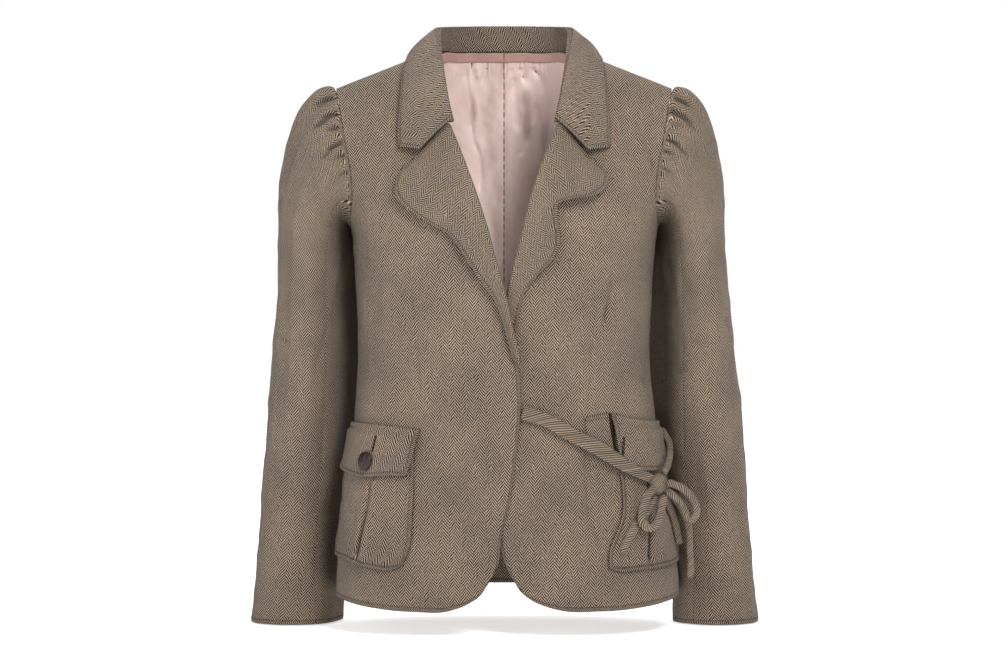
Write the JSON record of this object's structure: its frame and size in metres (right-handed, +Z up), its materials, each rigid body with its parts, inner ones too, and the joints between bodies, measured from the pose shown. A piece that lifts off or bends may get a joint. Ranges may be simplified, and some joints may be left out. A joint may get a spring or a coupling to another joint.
{
  "type": "tie-waist tweed jacket",
  "caption": "Short tailored herringbone tweed jacket with notched lapels, puff sleeve heads, pleated flap pockets and a side tie, hollow as when worn.",
  "frame": {"origin": "middle of the neck between the two shoulders, where the jacket rests on its wearer", "axes": "+Z up along the wearer's back, -Y out of the front, +X towards the wearer's left sleeve"},
  "size_m": [0.5679, 0.2621, 0.6685],
  "materials": {
    "tweed": "soft herringbone wool, taupe and brown",
    "lining": "smooth satin, dusty pink",
    "button": "marbled dark plum brown"
  },
  "bodies": {
    "root": {"front_right": "tweed", "front_left": "tweed", "back": "tweed", "sleeve_right_top": "tweed", "sleeve_right_under": "tweed", "sleeve_left_top": "tweed", "sleeve_left_under": "tweed", "lapel_right": "tweed", "lapel_left": "tweed", "collar": "tweed", "pocket_right": "tweed", "pocket_left": "tweed", "flap_right": "tweed", "flap_left": "tweed", "tie_band": "tweed", "tie_knot": "tweed", "tie_side": "tweed", "tie_loop_inner": "tweed", "tie_tail_inner": "tweed", "tie_tail_middle": "tweed", "tie_loop_outer": "tweed", "tie_tail_outer": "tweed", "lining_back": "lining", "button": "button"}
  },
  "joints": []
}
